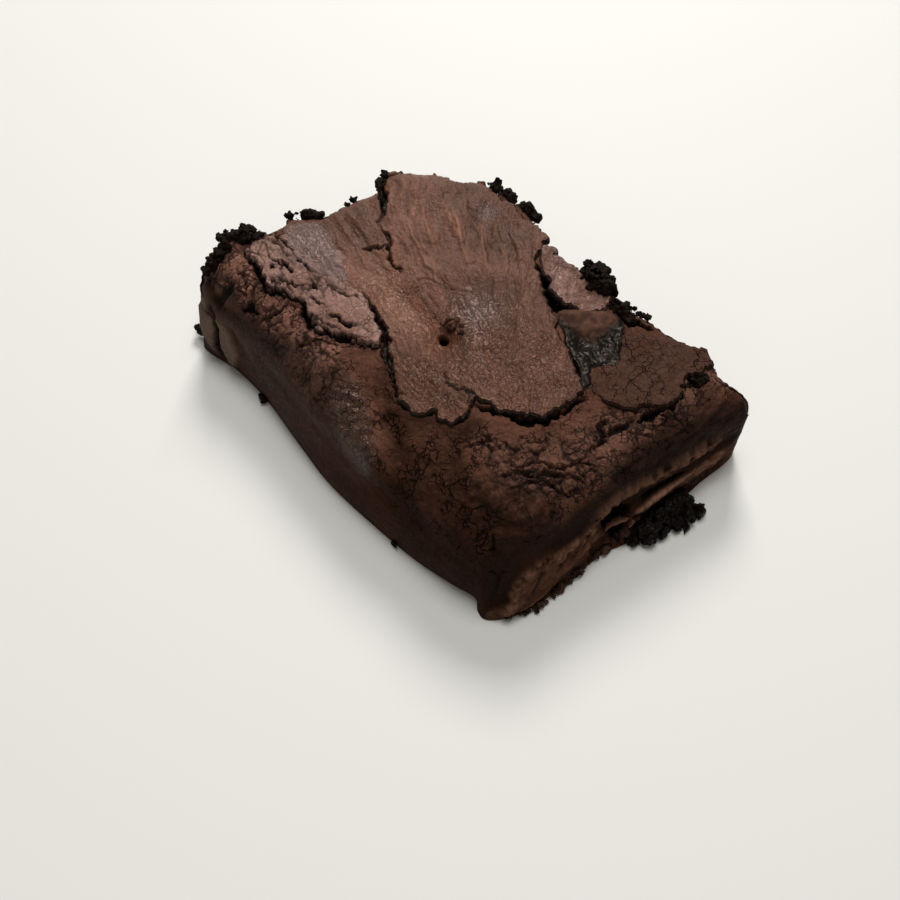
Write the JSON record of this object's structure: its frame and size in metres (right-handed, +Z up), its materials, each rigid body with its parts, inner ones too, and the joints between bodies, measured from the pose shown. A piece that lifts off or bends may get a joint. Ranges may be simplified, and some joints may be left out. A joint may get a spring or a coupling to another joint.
{
  "type": "chocolate brownie",
  "caption": "Corner piece of tray-baked fudge brownie with smooth baked sides, cut back and left faces, and a papery crust lifted in plates over open cracks.",
  "frame": {"origin": "centre of the bounding box on the flat underside, where the brownie rests", "axes": "+X along the long side towards the right tin-baked side, +Y from the front tin-baked side to the cut back, +Z up"},
  "size_m": [0.1052, 0.0662, 0.0275],
  "materials": {
    "crumb": "dense dark chocolate cake, satin where it was baked against the tin and rough where it was cut",
    "crust": "thin papery mid-brown crust with a faint sheen and fine wrinkles",
    "fudge": "moist, nearly black, shiny melted chocolate in the cracks and crumbs"
  },
  "bodies": {
    "root": {"brownie": "crumb"}
  },
  "joints": []
}
